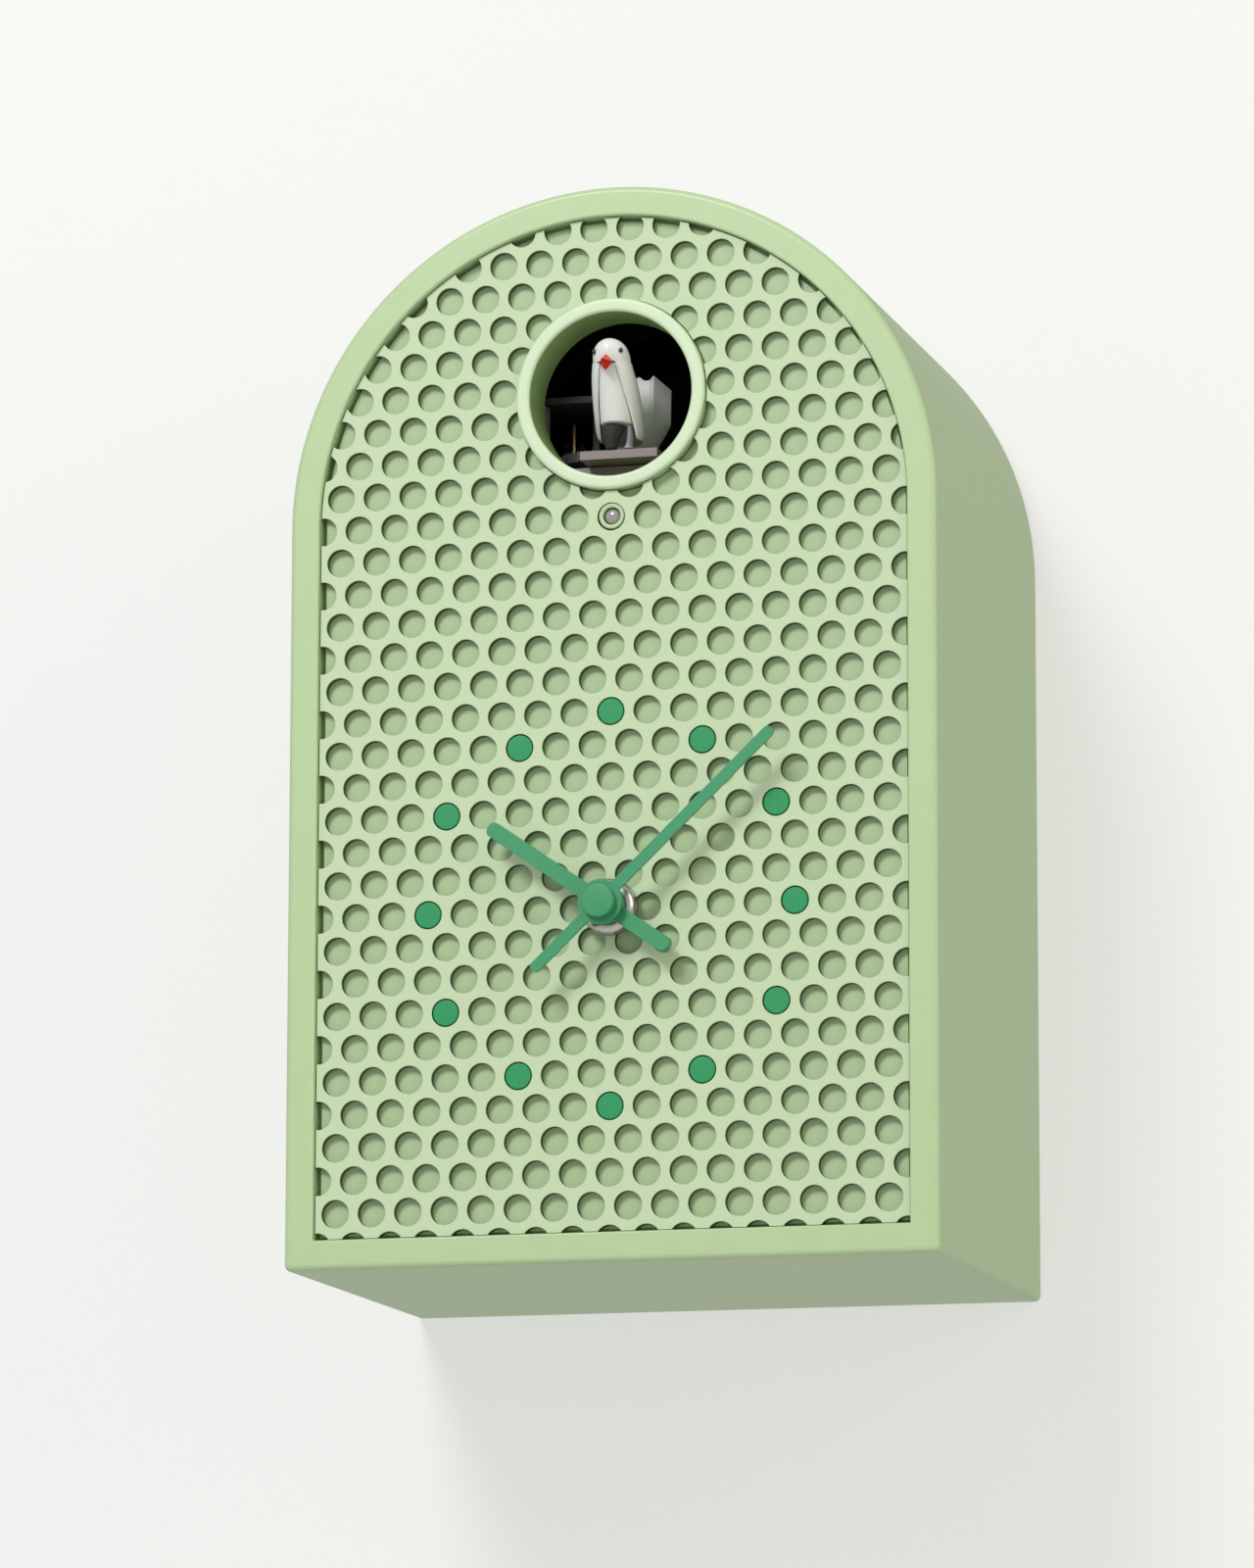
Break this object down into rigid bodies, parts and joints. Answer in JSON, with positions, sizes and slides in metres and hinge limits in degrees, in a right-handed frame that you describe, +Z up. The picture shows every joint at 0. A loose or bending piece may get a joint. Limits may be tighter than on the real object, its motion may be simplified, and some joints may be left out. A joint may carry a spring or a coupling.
{
  "type": "cuckoo clock",
  "caption": "Wall cuckoo clock: arched case with a perforated front, two hands over dot hour marks, and a round window with a motor-driven sliding bird.",
  "frame": {"origin": "centre of the case's flat underside", "axes": "+X right as seen from the front, +Y towards the wall, +Z up"},
  "size_m": [0.2, 0.1511, 0.325],
  "materials": {
    "green_lacquer": "satin pale green lacquer over fibreboard",
    "grille_paint": "satin pale green paint",
    "dark_green": "satin dark green",
    "hand_green": "satin green paint",
    "steel": "plated",
    "fibre_washer": "matt",
    "black_plastic": "fine spark texture",
    "grey_plastic": "satin",
    "mauve_plastic": "satin",
    "white_plastic": "semi-gloss",
    "red_plastic": "semi-gloss",
    "brass": "turned",
    "gear_plastic": "natural acetal",
    "copper_wire": "enamelled copper winding",
    "board_green": "solder mask",
    "fibre_board": "raw fibreboard",
    "cell_wrap": "plain cell sleeve",
    "sensor_glass": "clear smoked lens"
  },
  "bodies": {
    "clock": {"back_cover": "black_plastic", "backing_panel": "green_lacquer", "battery_1": "cell_wrap", "battery_2": "cell_wrap", "battery_tray": "black_plastic", "bird_motor": "steel", "case_shell": "green_lacquer", "cover_screw_left": "steel", "cover_screw_right": "steel", "dial_grille": "grille_paint", "dial_nut": "steel", "dial_washer": "fibre_washer", "drive_coil": "copper_wire", "gear_bridge": "black_plastic", "guide_rod": "steel", "hanger_plate": "steel", "hour_marker_01": "dark_green", "hour_marker_02": "dark_green", "hour_marker_03": "dark_green", "hour_marker_04": "dark_green", "hour_marker_05": "dark_green", "hour_marker_06": "dark_green", "hour_marker_07": "dark_green", "hour_marker_08": "dark_green", "hour_marker_09": "dark_green", "hour_marker_10": "dark_green", "hour_marker_11": "dark_green", "hour_marker_12": "dark_green", "light_sensor": "sensor_glass", "mechanism_frame": "mauve_plastic", "mechanism_shelf": "fibre_board", "middle_plate": "grey_plastic", "movement_case": "black_plastic", "movement_cover": "black_plastic", "sensor_bush": "green_lacquer", "sound_board": "board_green", "speaker": "grey_plastic", "window_collar": "green_lacquer"},
    "minute_train": {"minute_hand": "hand_green", "hand_cap": "hand_green", "minute_shaft": "brass", "setting_knob": "black_plastic"},
    "minute_wheel": {"minute_wheel": "gear_plastic"},
    "hour_train": {"hour_hand": "hand_green", "hour_wheel": "brass"},
    "third_wheel": {"third_wheel": "gear_plastic"},
    "rotor": {"rotor": "grey_plastic"},
    "bird": {"bird_carriage": "mauve_plastic", "bird_body": "white_plastic", "bird_lower_body": "grey_plastic", "beak_upper": "red_plastic", "bird_tail": "white_plastic"},
    "beak_lower": {"beak_lower": "red_plastic"},
    "wing_left": {"wing_left": "white_plastic"},
    "wing_right": {"wing_right": "white_plastic"},
    "drive_gear": {"drive_gear": "grey_plastic"},
    "motor_pinion": {"motor_pinion": "brass"},
    "volume_knob": {"volume_knob": "black_plastic"},
    "mode_switch": {"mode_switch": "grey_plastic"},
    "battery_door": {"battery_door": "black_plastic"}
  },
  "joints": [
    {"name": "minute_hand_spin", "type": "hinge", "parent": "clock", "child": "minute_train", "pos_m": [0, 0, 0.1055], "axis": [0, 1, 0], "continuous": true},
    {"name": "minute_wheel_spin", "type": "hinge", "parent": "clock", "child": "minute_wheel", "pos_m": [0, 0, 0.1155], "axis": [0, 1, 0], "continuous": true},
    {"name": "hour_hand_spin", "type": "hinge", "parent": "clock", "child": "hour_train", "pos_m": [0, 0, 0.1055], "axis": [0, 1, 0], "continuous": true},
    {"name": "third_wheel_spin", "type": "hinge", "parent": "clock", "child": "third_wheel", "pos_m": [-0.014, 0, 0.1055], "axis": [0, 1, 0], "continuous": true},
    {"name": "rotor_spin", "type": "hinge", "parent": "clock", "child": "rotor", "pos_m": [-0.014, 0, 0.0935], "axis": [0, 1, 0], "continuous": true},
    {"name": "bird_slide", "type": "slide", "parent": "clock", "child": "bird", "axis": [0, -1, 0], "range_m": [0, 0.03]},
    {"name": "drive_gear_spin", "type": "hinge", "parent": "clock", "child": "drive_gear", "pos_m": [-0.015, -0.03, 0.246], "axis": [0, 0, 1], "range_deg": [-345, 0]},
    {"name": "motor_pinion_spin", "type": "hinge", "parent": "clock", "child": "motor_pinion", "pos_m": [-0.0249, -0.0201, 0.246], "axis": [0, 0, 1], "range_deg": [0, 1035]},
    {"name": "beak_open", "type": "hinge", "parent": "bird", "child": "beak_lower", "pos_m": [0, -0.0739, 0.2696], "axis": [1, 0, 0], "range_deg": [0, 25]},
    {"name": "wing_left_lift", "type": "hinge", "parent": "bird", "child": "wing_left", "pos_m": [-0.0075, -0.06663, 0.2705], "axis": [0, 1, 0], "range_deg": [0, 35]},
    {"name": "wing_right_lift", "type": "hinge", "parent": "bird", "child": "wing_right", "pos_m": [0.0075, -0.06663, 0.2705], "axis": [0, -1, 0], "range_deg": [0, 35]},
    {"name": "volume_knob_turn", "type": "hinge", "parent": "clock", "child": "volume_knob", "pos_m": [-0.052, 0.069, 0.15], "axis": [0, 1, 0], "range_deg": [0, 270]},
    {"name": "mode_switch_slide", "type": "slide", "parent": "clock", "child": "mode_switch", "axis": [1, 0, 0], "range_m": [-0.002, 0.002]},
    {"name": "battery_door_slide", "type": "slide", "parent": "clock", "child": "battery_door", "axis": [0, 0, -1], "range_m": [0, 0.034]}
  ],
  "couplings": [
    {"joint": "minute_wheel_spin", "follows": "minute_hand_spin", "ratio": -0.33333},
    {"joint": "hour_hand_spin", "follows": "minute_hand_spin", "ratio": 0.083333},
    {"joint": "third_wheel_spin", "follows": "minute_hand_spin", "ratio": -6},
    {"joint": "rotor_spin", "follows": "minute_hand_spin", "ratio": 30},
    {"joint": "drive_gear_spin", "follows": "bird_slide", "rad_per_m": -200},
    {"joint": "motor_pinion_spin", "follows": "bird_slide", "rad_per_m": 600},
    {"joint": "beak_open", "follows": "bird_slide", "rad_per_m": 14.5},
    {"joint": "wing_left_lift", "follows": "bird_slide", "rad_per_m": 20},
    {"joint": "wing_right_lift", "follows": "bird_slide", "rad_per_m": 20}
  ]
}
